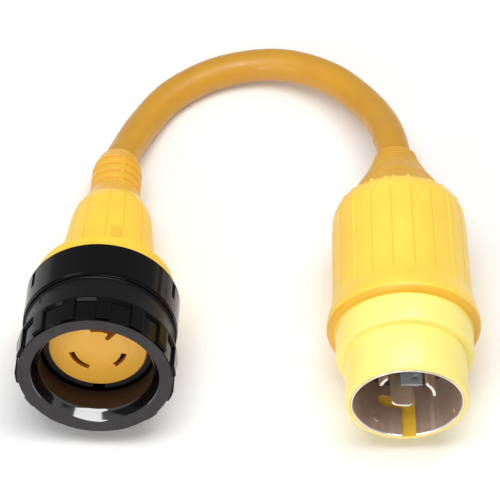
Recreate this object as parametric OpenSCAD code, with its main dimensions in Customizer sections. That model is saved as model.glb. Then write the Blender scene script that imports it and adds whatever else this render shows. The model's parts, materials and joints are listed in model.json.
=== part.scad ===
// Shore power adapter lead: a 50 A locking plug and a 30 A locking connector joined by a short
// bent cable, lying on a flat surface. Millimetres, +Z up, both ends open towards -Y.
// Each end is drawn in its own frame: local +Z runs out of the open face, local +Y is its top.

/* [Poses] */
// Connector face centre, X
c_x = -75.95; // [-90:0.01:-60]
// Connector face centre, Y
c_y = -55.18; // [-80:0.01:-30]
// Connector tilt, nose up (degrees)
c_tilt = 10.3; // [0:0.1:15]
// Connector turn about the vertical (degrees)
c_turn = -2.85; // [-10:0.05:10]
// Plug rim centre, X
p_x = 78.25; // [60:0.01:90]
// Plug rim centre, Y
p_y = -84.68; // [-110:0.01:-60]
// Plug tilt, nose up (degrees)
p_tilt = 0.5; // [0:0.1:5]
// Plug turn about the vertical (degrees)
p_turn = 0.9; // [-10:0.05:10]

/* [Sealing ring] */
// Rear collar radius
ring_r = 39; // [36:0.1:42]
// Radius of the front lip, and of the floor between the grip teeth
ring_front_r = 38.8; // [36:0.1:42]
// Radius over the grip teeth
ring_tooth_r = 40.2; // [37:0.1:43]
// Front plane of the ring, ahead of the contact face
ring_front = 19.5; // [15:0.5:25]
// Length of the ring
ring_len = 55.5; // [45:0.5:65]
// Radius of the plain bore
ring_bore_r = 29; // [27:0.1:31]
// Radius of the counterbore at the mouth
ring_mouth_r = 32; // [30:0.1:34]
// Number of grip teeth round the front
ring_teeth = 14; // [6:1:20]

/* [Connector] */
// Contact face radius
face_r = 24.6; // [22:0.1:26]
// Flange radius behind the ring
flange_r = 35.5; // [33:0.1:38]
// Bell radius behind the flange
bell_r = 24; // [18:0.1:25]
// Bell radius at its rear end
bell_rear_r = 20.8; // [16:0.1:22]
// Radius of the ribbed strain relief
boot_r = 13.1; // [11:0.1:15]
// Radius of the contact circle
contact_pcr = 13.4; // [12:0.1:15]

/* [Plug] */
// Nose radius
nose_r = 30.6; // [29:0.1:32]
// Length of the bare nose
nose_len = 27; // [20:0.5:35]
// Inside radius of the steel shell
shell_r = 27.2; // [25:0.1:28]
// Steel shell thickness
shell_t = 1.2; // [0.8:0.1:2]
// Collar radius behind the nose
collar_r = 34.7; // [33:0.1:36]
// Ridge radius
ridge_r = 39; // [37:0.1:41]
// Grip radius at the front
grip_r = 35.3; // [32:0.1:36]
// Grip radius at the rear
grip_rear_r = 34; // [31:0.1:35]
// Radius of the blade circle
blade_pcr = 13.6; // [12:0.1:15]
// Blade thickness
blade_t = 1.6; // [1.2:0.1:2]

/* [Cable] */
// Jacket radius
jacket_r = 8.6; // [7:0.1:10]
// Radius of an insulated wire
wire_r = 2.4; // [2:0.1:3]

/* [Hidden] */
$fn = 96;
eps = 0.01;
// connector stations along its axis, from the contact face (0) backwards
ring_rear = ring_front - ring_len;
web_front = -11;
web_rear = -15;
web_r = face_r + 0.4;
undercut_r = 31;
band_front = 3.4;
band_rear = -14;
teeth_front = ring_front - 1.4;
gap_turn = 11.6;
gap_arc = 15.6;
flange_front = ring_rear - 0.3;
flange_rear = -46.5;
pocket_r = 27;
pocket_rear = -44;
carrier_rear = -41.5;
bell_rear = -93.5;
boot_front = -112.5;
boot_rear = -141;
c_straight = -137;
c_jacket_end = -90;
slot_w = 2.8;
hot_arc = [192, 250];
neutral_arc = [308, 350];
ground_arc = [50, 106];
contact_front = -4;
contact_base = -38;
barrel_r = 3.2;
socket_barrel_r = 2.4;
strand_r = 1.6;
// plug stations along its axis, from the rim (0) backwards
collar_rear = -43;
ridge_z = -46.2;
grip_front = -66;
grip_rear = -114;
seam_z = -120.5;
seam_r = 30.6;
neck_r = 10.6;
neck_rear = -156;
p_straight = -148;
insert_front = -30;
shell_rear = -52;
insert_rear = -58;
seat_rear = -50;
sleeve_r = 30.2;
p_jacket_end = -100;
x_arc = [236.5, 279.5];
y_arc = [136, 168];
w_arc = [-4, 48];
strap_x = [-3.6, 7.8];
rivet_xy = [5.4, -20];
// cable
bore_r = jacket_r + 0.1;
jacket_in_r = 6.4;
wire_off = 3;
wire_twist = 150;
sides = 12;
wire_sides = 8;
span_steps = 3;

// ---- frames ----
// each end rests on the rear edge of its ring or on its ridge
c_pos = [c_x, c_y, ring_r * cos(c_tilt) - ring_rear * sin(c_tilt)];
p_pos = [p_x, p_y, ridge_r * cos(p_tilt) - ridge_z * sin(p_tilt)];

function ax_x(turn) = [cos(turn), sin(turn), 0];
function ax_z(tilt, turn) = [sin(turn) * cos(tilt), -cos(turn) * cos(tilt), sin(tilt)];
function place(pos, tilt, turn, q) =
    let (x = ax_x(turn), z = ax_z(tilt, turn), y = cross(z, x)) pos + q[0] * x + q[1] * y + q[2] * z;
function c_at(q) = place(c_pos, c_tilt, c_turn, q);
function p_at(q) = place(p_pos, p_tilt, p_turn, q);

module at_connector() { translate(c_pos) rotate([90 - c_tilt, 0, c_turn]) children(); }
module at_plug() { translate(p_pos) rotate([90 - p_tilt, 0, p_turn]) children(); }

// ---- cable route ----
// points of the cable's centre line between the two ends, lying on the ground in the middle
route = [[-64.5, 97.1, 14.9], [-55.5, 118.7, 9.6], [-42.4, 137.0, 9.0], [-22.2, 151.0, 9.4],
         [-0.2, 156.7, 10.9], [21.4, 154.5, 13.8], [43.1, 143.1, 17.0], [58.3, 126.3, 20.6],
         [68.8, 106.1, 27.2], [73.9, 85.0, 34.7]];

function spline(a, b, c, d, t) =
    0.5 * (2 * b + (c - a) * t + (2 * a - 5 * b + 4 * c - d) * t * t + (3 * b - a - 3 * c + d) * t * t * t);
function smooth(p) =
    let (n = len(p))
    concat([for (i = [0 : n - 2]) let (a = p[max(i - 1, 0)], d = p[min(i + 2, n - 1)])
            for (k = [0 : span_steps - 1]) spline(a, p[i], p[i + 1], d, k / span_steps)], [p[n - 1]]);
function unit(v) = v / norm(v);
function heading(p, i) = unit(p[min(i + 1, len(p) - 1)] - p[max(i - 1, 0)]);
function side(p, i) = unit(cross(heading(p, i), [0, 0, 1]));
function lift(p, i) = cross(side(p, i), heading(p, i));

cable_line = smooth(concat([for (z = [c_jacket_end, -116, c_straight]) c_at([0, 0, z])],
                           route,
                           [for (z = [p_straight, -124, p_jacket_end]) p_at([0, 0, z])]));

// one ring of points round station i, centred (a, b) off the line
function rim(p, i, r, n, a, b) =
    [for (k = [0 : n - 1]) p[i] + (a + r * cos(360 * k / n)) * side(p, i)
                                + (b + r * sin(360 * k / n)) * lift(p, i)];
function quads(m, n, at, flip) =
    [for (i = [0 : m - 2]) for (k = [0 : n - 1])
        let (a = at + i * n + k, b = at + i * n + (k + 1) % n, c = b + n, d = a + n)
        flip ? [a, b, c, d] : [d, c, b, a]];

module rod(p, r, n) {
    m = len(p);
    pts = [for (i = [0 : m - 1]) each rim(p, i, r, n, 0, 0)];
    polyhedron(pts, concat([[for (k = [0 : n - 1]) k]],
                           quads(m, n, 0, false),
                           [[for (k = [n - 1 : -1 : 0]) (m - 1) * n + k]]), convexity = 8);
}

module hose(p, r, r_in, n) {
    m = len(p);
    pts = concat([for (i = [0 : m - 1]) each rim(p, i, r, n, 0, 0)],
                 [for (i = [0 : m - 1]) each rim(p, i, r_in, n, 0, 0)]);
    q = m * n;
    first = [for (k = [0 : n - 1]) let (j = (k + 1) % n) [k, j, q + j, q + k]];
    last = [for (k = [0 : n - 1]) let (j = (k + 1) % n, e = q - n) [e + j, e + k, q + e + k, q + e + j]];
    polyhedron(pts, concat(first, quads(m, n, 0, false), quads(m, n, q, true), last), convexity = 8);
}

// a wire: from its barrel in the connector, through the jacket with the cores' slow twist, to its
// barrel in the plug
function core(i, turn) =
    let (t = turn + wire_twist * i / (len(cable_line) - 1))
    cable_line[i] + wire_off * (cos(t) * side(cable_line, i) + sin(t) * lift(cable_line, i));
function wire_line(c_xy, p_xy, p_z, turn) =
    let (a = wire_off * cos(turn), b = wire_off * sin(turn),
         c = -wire_off * cos(turn + wire_twist), d = wire_off * sin(turn + wire_twist))
    concat([c_at([c_xy[0], c_xy[1], -54]), c_at([c_xy[0], c_xy[1], -60]),
            c_at([a + (c_xy[0] - a) * 0.3, b + (c_xy[1] - b) * 0.3, -78])],
           [for (i = [0 : 3 : len(cable_line) - 1]) core(i, turn)],
           [p_at([c + (p_xy[0] - c) * 0.4, d + (p_xy[1] - d) * 0.4, -92]),
            p_at([p_xy[0], p_xy[1], p_z - 5]), p_at([p_xy[0], p_xy[1], p_z])]);

// ---- small helpers ----
module sector(r0, r1, arc, z0, z1) {
    translate([0, 0, z0]) rotate([0, 0, arc[0]]) rotate_extrude(angle = arc[1] - arc[0])
        translate([r0, 0]) square([r1 - r0, z1 - z0]);
}
module tube(r0, r1, z0, z1) {
    rotate_extrude() translate([r0, z0]) square([r1 - r0, z1 - z0]);
}
module post(xy, r, z0, z1) { translate([xy[0], xy[1], z0]) cylinder(r = r, h = z1 - z0); }
module pipe(xy, r0, r1, z0, z1) {
    difference() {
        post(xy, r1, z0, z1);
        post(xy, r0, z0 - 1, z1 + 1);
    }
}
function mid_xy(arc, r) = [r * cos((arc[0] + arc[1]) / 2), r * sin((arc[0] + arc[1]) / 2)];
hot_xy = mid_xy(hot_arc, contact_pcr);
neutral_xy = mid_xy(neutral_arc, contact_pcr);
ground_xy = mid_xy(ground_arc, contact_pcr);
x_xy = mid_xy(x_arc, blade_pcr);
w_xy = mid_xy(w_arc, blade_pcr);

// ---- connector ----
module sealing_ring() color([0.06, 0.06, 0.07]) at_connector() difference() {
    rotate_extrude() polygon([
        [ring_mouth_r, ring_front], [ring_front_r, ring_front], [ring_front_r, teeth_front],
        [ring_tooth_r, teeth_front], [ring_tooth_r, band_front], [37.5, band_front],
        [37.5, band_rear], [ring_r, band_rear - 0.8], [ring_r, ring_rear], [33, ring_rear],
        [33, web_rear], [web_r, web_rear], [web_r, web_front],
        [undercut_r, web_front], [undercut_r, 0.5], [ring_bore_r, 0.5], [ring_bore_r, 13.7],
        [ring_mouth_r, 13.7]]);
    for (i = [0 : ring_teeth - 1])
        rotate([0, 0, i * 360 / ring_teeth])
            sector(ring_front_r, ring_tooth_r + 2, [gap_turn, gap_turn + gap_arc],
                   band_front + 1.2, teeth_front + 1);
    for (s = [-1, 1]) translate([s * 49.5, 15, -5]) rotate([90, 0, 0]) cylinder(r = 14, h = 30);
    for (i = [0 : 5]) rotate([0, 0, 60 * i]) translate([ring_r - 1.2, -2.5, ring_rear + 5])
        cube([3, 5, 11]);
}

module ring_gasket() color([0.12, 0.12, 0.12]) at_connector()
    tube(web_r, undercut_r - 0.3, web_front + 0.3, web_front + 2.8);

module retaining_ring() color([0.1, 0.1, 0.1]) at_connector() difference() {
    tube(23.5, 27.5, -2.4, -0.6);
    translate([-3, -30, -5]) cube([6, 10, 8]);
}

module contact_carrier() color([0.93, 0.7, 0.25]) at_connector() difference() {
    rotate_extrude() polygon([
        [0, 0], [face_r - 0.4, 0], [face_r, -0.4], [face_r, -0.6], [23.5, -0.6], [23.5, -2.4],
        [face_r, -2.4], [face_r, flange_front], [pocket_r, flange_front], [pocket_r, carrier_rear],
        [0, carrier_rear]]);
    for (arc = [hot_arc, neutral_arc, ground_arc]) {
        sector(contact_pcr - slot_w / 2, contact_pcr + slot_w / 2, arc, -5, 1);
        sector(contact_pcr - 2.6, contact_pcr + 2.6, [arc[0] - 3, arc[1] + 3], carrier_rear - 1,
               contact_front + 1);
    }
    sector(8.2, contact_pcr, [ground_arc[0], ground_arc[0] + 14], -5, 1);
}

module carrier_back() color([0.25, 0.24, 0.22]) at_connector() difference() {
    tube(4, pocket_r, pocket_rear, carrier_rear);
    for (xy = [hot_xy, neutral_xy, ground_xy])
        post(xy, socket_barrel_r + 0.1, pocket_rear - 1, carrier_rear + 1);
}

// a female contact: two curved leaves on a base, with a crimp barrel behind
module contact(arc, xy) {
    sector(contact_pcr - 2.2, contact_pcr - 1.4, arc, contact_base, contact_front);
    sector(contact_pcr + 1.4, contact_pcr + 2.2, arc, contact_base, contact_front);
    sector(contact_pcr - 2.2, contact_pcr + 2.2, arc, contact_base - 2, contact_base + 0.5);
    pipe(xy, strand_r, socket_barrel_r, -52, contact_base - 1.5);
}
module hot_contact() color([0.8, 0.65, 0.35]) at_connector() contact(hot_arc, hot_xy);
module neutral_contact() color([0.8, 0.65, 0.35]) at_connector() contact(neutral_arc, neutral_xy);
module ground_contact() color([0.8, 0.65, 0.35]) at_connector() contact(ground_arc, ground_xy);

module connector_cover() color([0.98, 0.83, 0.28]) at_connector() difference() {
    union() {
        rotate_extrude() polygon([
            [pocket_r, flange_front], [33.8, flange_front], [33.8, flange_front - 1.5],
            [flange_r, flange_front - 1.5], [flange_r, flange_rear + 1], [flange_r - 1, flange_rear],
            [bell_r, flange_rear], [22.4, -80], [bell_rear_r, bell_rear], [19, -98], [15.5, -106],
            [boot_r + 0.6, boot_front + 2], [boot_r, boot_front], [bore_r, boot_front],
            [bore_r, -106], [16, -92], [17.5, -60], [17.5, pocket_rear], [pocket_r, pocket_rear]]);
        rotate([0, 0, -8]) translate([-2.4, bell_r - 3.1, -67]) cube([4.9, 3.6, 17]);
    }
    // the fine lines between the flats
    for (i = [0 : 6]) for (a = [0, 22]) rotate([0, 0, 69.6 + a + i * 360 / 7])
        translate([bell_r - 2.1, -0.4, -80]) rotate([0, 2.7, 0]) cube([3, 0.8, 26]);
}

module connector_strain_relief() color([0.97, 0.72, 0.26]) at_connector() difference() {
    rotate_extrude() polygon([
        [bore_r, boot_front], [boot_r, boot_front], [boot_r, -132.5], [12.2, -135.5],
        [11.1, -138.5], [10.4, boot_rear], [bore_r + 0.8, boot_rear], [bore_r, c_straight]]);
    for (z = [-116.5 : -4.1 : -133]) for (a = [81, 261])
        sector(boot_r - 1.1, boot_r + 1, [a, a + 166], z, z + 1.6);
}

module connector_ferrule() color([0.7, 0.7, 0.72]) at_connector() tube(bore_r, 9.7, -100, c_jacket_end);

// ---- cable ----
module cable_jacket() color([0.85, 0.64, 0.2]) hose(cable_line, jacket_r, jacket_in_r, sides);
module hot_wire() color([0.08, 0.08, 0.08]) rod(wire_line(hot_xy, x_xy, -76, 210), wire_r, wire_sides);
module neutral_wire() color([0.9, 0.9, 0.88])
    rod(wire_line(neutral_xy, w_xy, -76, 330), wire_r, wire_sides);
module ground_wire() color([0.1, 0.5, 0.2])
    rod(wire_line(ground_xy, rivet_xy, -76, 90), wire_r, wire_sides);
module wire_ends() color([0.8, 0.45, 0.25]) {
    at_connector() for (xy = [hot_xy, neutral_xy, ground_xy]) post(xy, strand_r, -54, -42);
    at_plug() for (xy = [x_xy, w_xy, rivet_xy]) post(xy, strand_r, -76, -64);
}

// ---- plug ----
module plug_strain_relief() color([0.82, 0.63, 0.21]) at_plug() difference() {
    rotate_extrude() polygon([
        [bore_r, seam_z], [seam_r, seam_z], [28.9, -121.6], [27, -123.4], [24.6, -126.6],
        [22.7, -130.6], [21, -134.6], [18.9, -138.2], [16.7, -142], [14.7, -146], [12.9, -150],
        [11.5, -153.4],
        [neck_r, neck_rear], [bore_r + 0.9, neck_rear], [bore_r, p_straight - 1]]);
    for (q = [[12.7, -150.3], [11.9, -152.4], [11.2, -154.4]])
        tube(q[0] - 0.4, q[0] + 2, q[1], q[1] + 0.6);
}

module plug_ferrule() color([0.7, 0.7, 0.72]) at_plug() tube(bore_r, 9.7, -110, p_jacket_end);

module plug_body() color([0.98, 0.86, 0.38]) at_plug() difference() {
    union() {
        body_shape();
        // four thin ribs, a quarter turn apart
        for (a = [45 : 90 : 315]) rotate([0, 0, a]) translate([grip_r - 2, -0.6, -111])
            rotate([0, 1.2, 0]) cube([1.9, 1.2, 50]);
    }
    // the fine lines between the flats
    for (i = [0 : 19]) if (i % 5 != 2) rotate([0, 0, 9 + 18 * i])
        translate([grip_r - 1.5, -0.4, -110]) rotate([0, 1.2, 0]) cube([4, 0.8, 46]);
}
module body_shape() rotate_extrude() polygon([
        [sleeve_r, collar_rear], [35.4, collar_rear], [37.6, collar_rear - 0.9],
        [38.7, ridge_z + 1], [ridge_r, ridge_z], [38.9, ridge_z - 1.6], [38.1, -52], [36.9, -56],
        [36, -60.5], [grip_r, grip_front], [34.8, -88], [34.5, -106], [grip_rear_r, grip_rear],
        [33, -117], [seam_r, seam_z], [bore_r, seam_z], [bore_r, -115], [12, -113], [27, -102],
        [27, insert_rear],
        [shell_r + shell_t, insert_rear], [shell_r + shell_t, seat_rear], [sleeve_r, seat_rear]]);

module plug_collar() color([0.99, 0.84, 0.36]) at_plug() rotate_extrude() polygon([
    [sleeve_r, -nose_len], [collar_r - 1.2, -nose_len], [collar_r, -nose_len - 1.4],
    [collar_r, collar_rear], [sleeve_r, collar_rear]]);

module plug_nose() color([1, 0.95, 0.6]) at_plug() rotate_extrude() polygon([
    [shell_r + shell_t, 0], [nose_r - 0.3, 0], [nose_r, -0.3], [nose_r, -nose_len],
    [sleeve_r, -nose_len], [sleeve_r, seat_rear], [shell_r + shell_t, seat_rear]]);

// steel liner with a keyway that enters at the bottom and turns to the left
module plug_shell() color([0.55, 0.52, 0.5]) at_plug() difference() {
    tube(shell_r, shell_r + shell_t, shell_rear, -0.2);
    translate([-2.2, -shell_r - 3, -23.7]) cube([7.1, 6, 30]);
    sector(shell_r - 2, shell_r + 2, [244.5, 270], -23.7, -16.7);
    rotate([0, 0, 244.5]) translate([shell_r - 2, 0, -20.2]) rotate([0, 90, 0]) cylinder(r = 3.7, h = 5);
    rotate([0, 0, -30]) translate([shell_r - 2, 0, -4.2]) rotate([0, 90, 0]) cylinder(r = 1.5, h = 5);
}

module blade_carrier() color([0.2, 0.18, 0.17]) at_plug() difference() {
    union() {
        post([0, 0], shell_r, shell_rear, insert_front);
        post([0, 0], shell_r + shell_t, insert_rear, shell_rear);
    }
    for (arc = [x_arc, y_arc, w_arc])
        sector(blade_pcr - blade_t / 2, blade_pcr + blade_t / 2, arc, insert_rear - 1, insert_front + 1);
    post(rivet_xy, 1.5, insert_rear - 1, insert_front + 1);
}

module blade(arc, tip, rear) {
    sector(blade_pcr - blade_t / 2, blade_pcr + blade_t / 2, arc, rear, tip);
}
module blade_x() color([0.6, 0.53, 0.45]) at_plug() {
    blade(x_arc, -8.5, -61);
    pipe(x_xy, strand_r, barrel_r, -74, -60.5);
}
module blade_y() color([0.6, 0.53, 0.45]) at_plug() blade(y_arc, -8.5, -61);
module blade_w() color([0.75, 0.73, 0.7]) at_plug() {
    blade(w_arc, -4.5, -61);
    pipe(w_xy, strand_r, barrel_r, -74, -60.5);
}
module hot_jumper() color([0.8, 0.5, 0.3]) at_plug()
    sector(blade_pcr - 2.3, blade_pcr - blade_t / 2, [y_arc[0], x_arc[1]], insert_rear - 2, insert_rear);

module ground_strap() color([0.55, 0.6, 0.64]) at_plug() difference() {
    union() {
        translate([strap_x[0], -9.8, insert_front]) cube([strap_x[1] - strap_x[0], 1.2, 12]);
        translate([3, -26, insert_front]) cube([strap_x[1] - 3, 17, 1.2]);
    }
    translate([5.4, -12, -22.8]) rotate([-90, 0, 0]) cylinder(r = 1.4, h = 6);
    post(rivet_xy, 1.5, insert_front - 1, insert_front + 3);
}
module strap_rivet() color([0.75, 0.75, 0.76]) at_plug() {
    post(rivet_xy, 1.5, -59.2, insert_front + 1.3);
    post(rivet_xy, 2.6, insert_front + 1.2, insert_front + 2.4);
    post(rivet_xy, 2.6, -60.4, -59.2);
}
module ground_lug() color([0.8, 0.65, 0.35]) at_plug() {
    pipe(rivet_xy, 1.5, 4, -59.2, insert_rear);
    pipe(rivet_xy, 2.6, barrel_r, -64, -59.1);
    pipe(rivet_xy, strand_r, barrel_r, -74, -63.9);
}

sealing_ring();
ring_gasket();
retaining_ring();
contact_carrier();
carrier_back();
hot_contact();
neutral_contact();
ground_contact();
connector_cover();
connector_strain_relief();
connector_ferrule();
cable_jacket();
hot_wire();
neutral_wire();
ground_wire();
wire_ends();
plug_strain_relief();
plug_ferrule();
plug_body();
plug_collar();
plug_nose();
plug_shell();
blade_carrier();
blade_x();
blade_y();
blade_w();
hot_jumper();
ground_strap();
strap_rivet();
ground_lug();
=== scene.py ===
# %% [markdown]
# # A shore power adapter lead
# A big locking plug and a smaller locking connector share one short, bent cable. The plug has a steel
# liner with three curved blades inside a soft yellow boot. The connector has an orange contact face
# with three slots, and a black ring that slides and turns on it to seal the joint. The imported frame
# gives every piece's place, so this lesson only builds how the pieces look.

# %% Load the frame
import json
import math

import bmesh
import bpy
from mathutils import Matrix, Vector


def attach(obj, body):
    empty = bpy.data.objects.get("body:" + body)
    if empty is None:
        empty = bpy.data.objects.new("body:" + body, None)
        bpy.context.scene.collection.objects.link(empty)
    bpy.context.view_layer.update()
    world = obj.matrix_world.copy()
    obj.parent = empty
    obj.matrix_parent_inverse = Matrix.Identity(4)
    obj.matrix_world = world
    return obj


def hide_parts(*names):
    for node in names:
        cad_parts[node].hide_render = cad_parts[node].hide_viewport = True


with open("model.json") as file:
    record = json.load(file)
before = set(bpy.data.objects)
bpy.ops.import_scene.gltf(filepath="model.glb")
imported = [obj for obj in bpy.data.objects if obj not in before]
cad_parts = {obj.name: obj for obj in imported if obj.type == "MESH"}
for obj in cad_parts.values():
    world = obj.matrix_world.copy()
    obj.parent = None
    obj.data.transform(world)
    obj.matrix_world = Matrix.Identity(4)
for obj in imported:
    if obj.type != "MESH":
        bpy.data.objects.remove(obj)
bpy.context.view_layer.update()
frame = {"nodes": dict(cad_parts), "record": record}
MM = 0.001
nodes = frame["nodes"]
mounts = {m["name"]: m for m in frame["record"]["mounts"]}

# %% [markdown]
# ## The two ends' own places
# Each end was designed standing on its own axis, with +Z running out of its open mouth. It's far
# easier to turn a profile there than in its tilted resting place. The mounts record where each mouth
# is and which way it looks, so a matrix built from them carries a finished piece into the frame.

# %% Read each end's axis from its mount
NOSE_LENGTH = 27.0  # mm, the plug's bare nose, whose mount sits half way along


def end_place(mount, ahead):
    """The matrix of an end: Z out of the mouth, X level, origin `ahead` mm along from the mount."""
    out = Vector(mount["axis"]).normalized()
    level = Vector((0, 0, 1)).cross(out).normalized()
    up = out.cross(level)
    at = Vector(mount["pos_m"]) + out * ahead * MM
    return Matrix.Translation(at) @ Matrix((level, up, out)).transposed().to_4x4()


CONNECTOR = end_place(mounts["contact_face"], 0.0)
PLUG = end_place(mounts["plug_nose_sleeve"], NOSE_LENGTH / 2)
print("connector face at", [round(v, 4) for v in CONNECTOR.translation])
print("plug rim at", [round(v, 4) for v in PLUG.translation])

# %% [markdown]
# ## The camera
# A wide lens close by would swell the plug and thin the far bend of the cable. A long lens from two
# metres away keeps near and far parts at nearly one scale. The camera looks down at 53 degrees,
# straight along +Y. The Standard view keeps the saturated yellow of the vinyl, which a filmic view
# would wash out.

# %% Set the camera
LOOK_DOWN = math.radians(53)
DISTANCE = 2.0  # metres
LENS = 278.4  # mm
FAR_CLIP = 20  # metres
TARGET = Vector((0.0001, 0.0256, 0.020))
away = Vector((0, -math.cos(LOOK_DOWN), math.sin(LOOK_DOWN)))
camera_data = bpy.data.cameras.new("camera")
camera_data.lens = LENS
camera_data.clip_end = FAR_CLIP
camera = bpy.data.objects.new("camera", camera_data)
camera.location = TARGET + away * DISTANCE
camera.rotation_euler = (math.pi / 2 - LOOK_DOWN, 0, 0)
bpy.context.scene.collection.objects.link(camera)
bpy.context.scene.camera = camera
bpy.context.scene.view_settings.view_transform = "Standard"
print("camera stands", DISTANCE, "m away and looks down at", round(math.degrees(LOOK_DOWN)), "degrees")

# %% [markdown]
# ## The cable's route
# The cable is a heavy three wire cord, about 17 mm thick. Both its ends go into the moulded ends, and
# the stretch between them bends through half a turn. It rests on the surface behind the connector and
# climbs gently to the plug, whose axis is higher. A Bezier curve would need a handle at each bend. A
# spline that passes through every station needs none, and the same stations carry the solid in the
# frame, so the two agree.

# %% The cable's centre line
JACKET_R = 8.6  # mm
PER_SPAN = 9  # points between two stations
IN_BOOT = (-116, -137)  # mm along the connector's axis, where the cable is held straight
IN_NECK = (-148, -124)  # the same on the plug's axis
# mm in the frame, from the connector to the plug
BEND = [(-64.5, 97.1, 14.9), (-55.5, 118.7, 9.6), (-42.4, 137.0, 9.0), (-22.2, 151.0, 9.4),
        (-0.2, 156.7, 10.9), (21.4, 154.5, 13.8), (43.1, 143.1, 17.0), (58.3, 126.3, 20.6),
        (68.8, 106.1, 27.2), (73.9, 85.0, 34.7)]


def on_axis(place, z):
    """The point z mm along an end's own axis."""
    return place @ Vector((0, 0, z * MM))


def spline(a, b, c, d, t):
    """The point a part t of the way from b to c, on the smooth curve through a, b, c and d."""
    return 0.5 * (2 * b + (c - a) * t + (2 * a - 5 * b + 4 * c - d) * t * t
                  + (3 * b - a - 3 * c + d) * t ** 3)


def smooth_line(stations, per_span):
    """A smooth line through the stations, with per_span points to each gap."""
    line = []
    last = len(stations) - 1
    for i in range(last):
        a, d = stations[max(i - 1, 0)], stations[min(i + 2, last)]
        line += [spline(a, stations[i], stations[i + 1], d, k / per_span) for k in range(per_span)]
    return line + [stations[last]]


def length_of(line):
    return sum((b - a).length for a, b in zip(line, line[1:]))


stations = [on_axis(CONNECTOR, z) for z in IN_BOOT]
stations += [Vector(p) * MM for p in BEND]
stations += [on_axis(PLUG, z) for z in IN_NECK]
cable_line = smooth_line(stations, PER_SPAN)
cable_length = length_of(cable_line)
print("cable line is", round(cable_length * 1000), "mm")

# %% [markdown]
# ## Tools for round pieces
# Nearly every piece here was turned or moulded round an axis. Rings of points could be written out for
# each, but an outline is easier to read and to change. A helper takes half of the piece's outline,
# spins it with a Screw modifier, and hands back a mesh on the end's own axis.

# %% Turn a solid from its outline
MERGE = 1e-6  # metres, far below the finest detail


def new_object(name, verts, faces=(), edges=()):
    mesh = bpy.data.meshes.new(name)
    mesh.from_pydata([Vector(v) * MM for v in verts], edges, faces)
    obj = bpy.data.objects.new(name, mesh)
    bpy.context.scene.collection.objects.link(obj)
    return obj


def settle(obj):
    """Applies the object's modifier stack to its mesh."""
    bpy.context.view_layer.update()
    depsgraph = bpy.context.evaluated_depsgraph_get()
    made = bpy.data.meshes.new_from_object(obj.evaluated_get(depsgraph))
    obj.modifiers.clear()
    obj.data = made
    made.name = obj.name
    return obj


def refine(outline, step):
    """Adds points along a closed outline so that no gap is longer than step."""
    out = []
    for (r0, z0), (r1, z1) in zip(outline, outline[1:] + outline[:1]):
        count = max(1, math.ceil(math.hypot(r1 - r0, z1 - z0) / step))
        out += [(r0 + (r1 - r0) * k / count, z0 + (z1 - z0) * k / count) for k in range(count)]
    return out


def clean(obj):
    """Merges doubles and turns every face outwards."""
    bm = bmesh.new()
    bm.from_mesh(obj.data)
    bmesh.ops.remove_doubles(bm, verts=bm.verts, dist=MERGE)
    bmesh.ops.recalc_face_normals(bm, faces=bm.faces)
    bm.to_mesh(obj.data)
    bm.free()
    return obj


def turned(name, outline, steps=128, step=None):
    """A solid of revolution: outline is a closed loop of (r, z) in mm, down the outside first."""
    if step:
        outline = refine(outline, step)
    count = len(outline)
    edges = [(i, (i + 1) % count) for i in range(count)]
    edges = [e for e in edges if outline[e[0]][0] > 0 or outline[e[1]][0] > 0]
    obj = new_object(name, [(r, 0, z) for r, z in outline], edges=edges)
    screw = obj.modifiers.new("turn", "SCREW")
    screw.angle = math.tau
    screw.steps = screw.render_steps = steps
    screw.use_merge_vertices = True
    screw.merge_threshold = MERGE
    return clean(settle(obj))


# %% [markdown]
# ## Tools for cutting and rounding
# Holes are cut with an exact Boolean while the edges are still sharp, and a Bevel rounds them last, so
# that the cut edges get the same small radius as the rest.

# %% Cut, join and round
def cut(obj, *cutters):
    """Cuts each cutter out of obj and removes the cutters."""
    for cutter in cutters:
        boolean = obj.modifiers.new("cut", "BOOLEAN")
        boolean.object = cutter
        boolean.operation = "DIFFERENCE"
        boolean.solver = "EXACT"
    settle(obj)
    for cutter in cutters:
        bpy.data.objects.remove(cutter)
    return obj


def join(obj, other):
    """Moves the mesh of other into obj and removes other."""
    bm = bmesh.new()
    bm.from_mesh(obj.data)
    bm.from_mesh(other.data)
    bm.to_mesh(obj.data)
    bm.free()
    bpy.data.objects.remove(other)
    return obj


def round_edges(obj, width, segments=2, angle=32):
    """Rounds the edges that turn by more than angle degrees, to a width in mm."""
    bevel = obj.modifiers.new("round edges", "BEVEL")
    bevel.width = width * MM
    bevel.segments = segments
    bevel.limit_method = "ANGLE"
    bevel.angle_limit = math.radians(angle)
    bevel.use_clamp_overlap = True
    return settle(obj)


# %% [markdown]
# ## Tools for relief
# Grip teeth, ribs and grooves could each be a Boolean, but dozens of thin cuts leave slivers and uneven
# shading. Here the turned mesh is fine enough to press them in by moving its points in or out, which
# keeps the skin closed and its shading clean.

# %% Press relief into a turned mesh
NEAR_AXIS = 1e-6  # mm


def polar(point):
    """A point as its radius, its angle from 0 to 360, and its height, in mm and degrees."""
    x, y, z = point / MM
    return math.hypot(x, y), math.degrees(math.atan2(y, x)) % 360, z


def relief(obj, depth, shade=0.0):
    """Moves each point outwards from the axis by depth(radius, angle, z), in mm.
    Points that sink are marked in crease_shade, and the skin darkens them by shade for each mm: painted shade
    in the grooves."""
    crease_shade = obj.data.attributes.new("crease_shade", "FLOAT", "POINT")
    for v in obj.data.vertices:
        r, a, z = polar(v.co)
        if r > NEAR_AXIS:
            move = depth(r, a, z)
            v.co.x *= (r + move) / r
            v.co.y *= (r + move) / r
            crease_shade.data[v.index].value = min(max(-move * shade, 0), 1)
    return obj


def ramp(value, low, high):
    """0 below low, 1 above high, and a smooth rise between them."""
    t = min(max((value - low) / (high - low), 0), 1)
    return t * t * (3 - 2 * t)


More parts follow.
